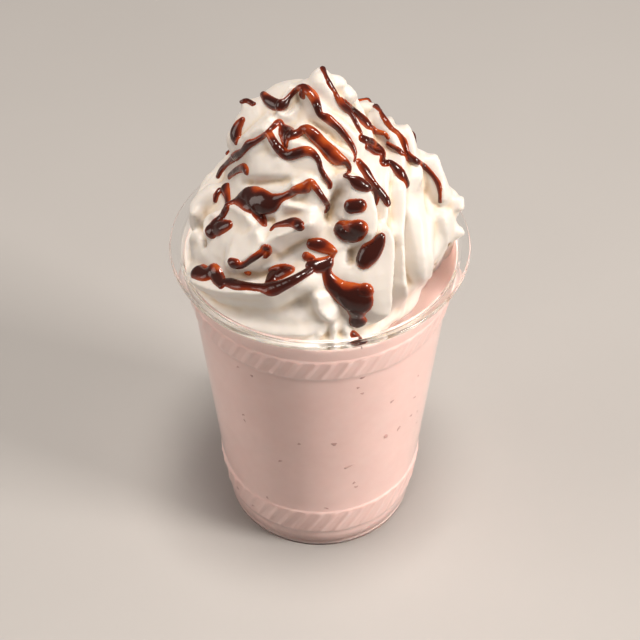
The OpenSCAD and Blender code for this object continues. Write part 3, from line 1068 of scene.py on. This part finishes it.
def cream_material():
    material, nodes, links, shader = new_material("whipped cream", {
        "Roughness": 0.42,
        "Subsurface Weight": 0.25,
        "Subsurface Radius": (1.0, 0.75, 0.5),
        "Subsurface Scale": 1.6 * MM,
    })
    # painted shade: the cream's colour darkens to tan the deeper a corner lies in a crevice
    tint = add_ramp(nodes, links, add_stored(nodes, "crevice").outputs["Fac"], [
        (0.0, (0.775, 0.73, 0.68)), (0.35, (0.755, 0.68, 0.59)), (1.0, (0.62, 0.47, 0.31))])
    cloud = add_mottle(nodes, 60, 0.3)
    tone = add_ramp(nodes, links, cloud.outputs["Mask"], [
        (0.35, (0.93, 0.90, 0.86)), (0.65, (1.0, 1.0, 1.0))])
    warm = nodes.new("ShaderNodeMix")
    warm.data_type = "RGBA"
    warm.blend_type = "MULTIPLY"
    warm.inputs["Factor"].default_value = 0.25
    links.new(tint, warm.inputs["A"])
    links.new(tone, warm.inputs["B"])
    links.new(warm.outputs["Result"], shader.inputs["Base Color"])
    add_bump(nodes, links, cloud.outputs["Height"], shader, 0.12, 0.3)
    return material


def clouded_material(name, constants, mottle, stops, bump=None):
    """A material whose colour wanders between the stops with the mottle, with a fine bump if given."""
    material, nodes, links, shader = new_material(name, constants)
    cloud = add_mottle(nodes, *mottle)
    links.new(add_ramp(nodes, links, cloud.outputs["Mask"], stops), shader.inputs["Base Color"])
    if bump:
        add_bump(nodes, links, cloud.outputs["Height"], shader, *bump)
    return material


def milkshake_material():
    thick_drink = {
        "Roughness": 0.5,
        "Specular IOR Level": 0.9,
        "Subsurface Weight": 0.25,
        "Subsurface Radius": (1.0, 0.5, 0.4),
        "Subsurface Scale": 2 * MM,
    }
    pinks = [(0.3, (0.76, 0.545, 0.505)), (0.5, (0.79, 0.58, 0.54)), (0.7, (0.82, 0.615, 0.575))]
    return clouded_material("strawberry milkshake", thick_drink, (45, 0.35), pinks, (0.1, 0.2))


def speck_material():
    reds = [(0.35, (0.46, 0.26, 0.23)), (0.65, (0.62, 0.40, 0.36))]
    return clouded_material("strawberry specks", {"Roughness": 0.5}, (120, 0.3), reds)


def floor_material():
    greys = [(0.3, (0.46, 0.445, 0.43)), (0.7, (0.49, 0.475, 0.46))]
    return clouded_material("pale floor", {"Roughness": 0.55}, (3, 0.2), greys)


def plastic_material():
    material, nodes, links, shader = new_material("clear plastic", {
        "Base Color": (0.985, 0.985, 0.98, 1),
        "Transmission Weight": 1,
        "IOR": 1.45,
    })
    cloud = add_mottle(nodes, 40, 0.2)
    haze = nodes.new("ShaderNodeMapRange")
    set_inputs(haze, {"To Min": 0.02, "To Max": 0.06})
    links.new(cloud.outputs["Mask"], haze.inputs["Value"])
    links.new(haze.outputs["Result"], shader.inputs["Roughness"])
    add_bump(nodes, links, cloud.outputs["Height"], shader, 0.02, 0.3)
    return material


def sauce_material():
    material, nodes, links, shader = new_material("chocolate sauce", {
        "Roughness": 0.12,
        "Specular IOR Level": 0.4,
        "Coat Weight": 0.2,
        "Coat Roughness": 0.3,
    })
    tint = add_ramp(nodes, links, add_stored(nodes, "thick").outputs["Fac"], [
        (0.0, (0.43, 0.075, 0.010)), (0.18, (0.23, 0.026, 0.004)),
        (0.45, (0.080, 0.0075, 0.002)), (0.9, (0.034, 0.004, 0.0015))])
    links.new(tint, shader.inputs["Base Color"])
    cloud = add_mottle(nodes, 90, 0.2)
    add_bump(nodes, links, cloud.outputs["Height"], shader, 0.06, 0.3)
    return material


def finish_piece(piece, material, slot, *nodes):
    piece.data.materials.clear()
    piece.data.materials.append(material)
    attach(piece, "root")
    if nodes:
        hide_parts(*nodes)


# ---------------------------------------------------------------- the whole thing

FLOOR_HALF = 6000
FLOOR_GAP = 0.05          # the floor lies this far below the foot


def make_floor():
    corners = [(-FLOOR_HALF, -FLOOR_HALF, 0), (FLOOR_HALF, -FLOOR_HALF, 0),
               (FLOOR_HALF, FLOOR_HALF, 0), (-FLOOR_HALF, FLOOR_HALF, 0)]
    floor = mesh_piece("floor", corners, [(0, 1, 2, 3)])
    floor.location.z = -FLOOR_GAP * MM
    floor.data.materials.append(floor_material())


make_camera()
make_light()
make_floor()

cup = make_cup()
cup.visible_shadow = False           # clear plastic would throw a full shadow on what it holds
finish_piece(cup, plastic_material(), "clear_plastic", "cup")

fill = make_milkshake()
finish_piece(fill, milkshake_material(), "milkshake", "milkshake")

specks = make_specks()
finish_piece(specks, speck_material(), "milkshake")

cream = make_cream()
mark_crevice_shade(cream)
finish_piece(cream, cream_material(), "cream", "whipped_cream")

sauce = make_sauce(cream)
finish_piece(sauce, sauce_material(), "chocolate_sauce")
